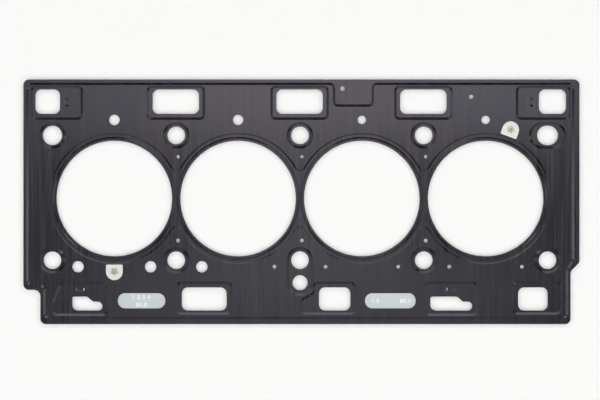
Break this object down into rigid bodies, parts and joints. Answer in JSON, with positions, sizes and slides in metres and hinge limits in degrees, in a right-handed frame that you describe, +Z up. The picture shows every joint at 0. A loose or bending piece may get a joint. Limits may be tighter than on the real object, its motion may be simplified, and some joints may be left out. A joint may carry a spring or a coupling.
{
  "type": "cylinder head gasket",
  "caption": "Multi-layer steel cylinder head gasket for an inline four: beaded coated sheets over a flat carrier, with bolt, dowel, coolant and oil openings.",
  "frame": {"origin": "middle of the inner four head-bolt holes, on the underside (the plane of the lower sheet's pads and rim)", "axes": "+X along the row of bores, towards the end with the oval dowel slot; +Y towards the long side with five coolant windows; +Z up to the cylinder head"},
  "size_m": [0.4087, 0.1798, 0.0015],
  "materials": {
    "coating": "thin satin black elastomer coating on spring steel",
    "bright_steel": "bare bright cold-rolled stainless sheet",
    "carrier_steel": "bare cold-rolled sheet",
    "eyelet_steel": "plain formed eyelet"
  },
  "bodies": {
    "root": {"upper_functional_layer": "coating", "stopper_layer": "bright_steel", "carrier_layer": "carrier_steel", "lower_functional_layer": "coating", "left_eyelet": "eyelet_steel", "right_eyelet": "eyelet_steel"}
  },
  "joints": []
}
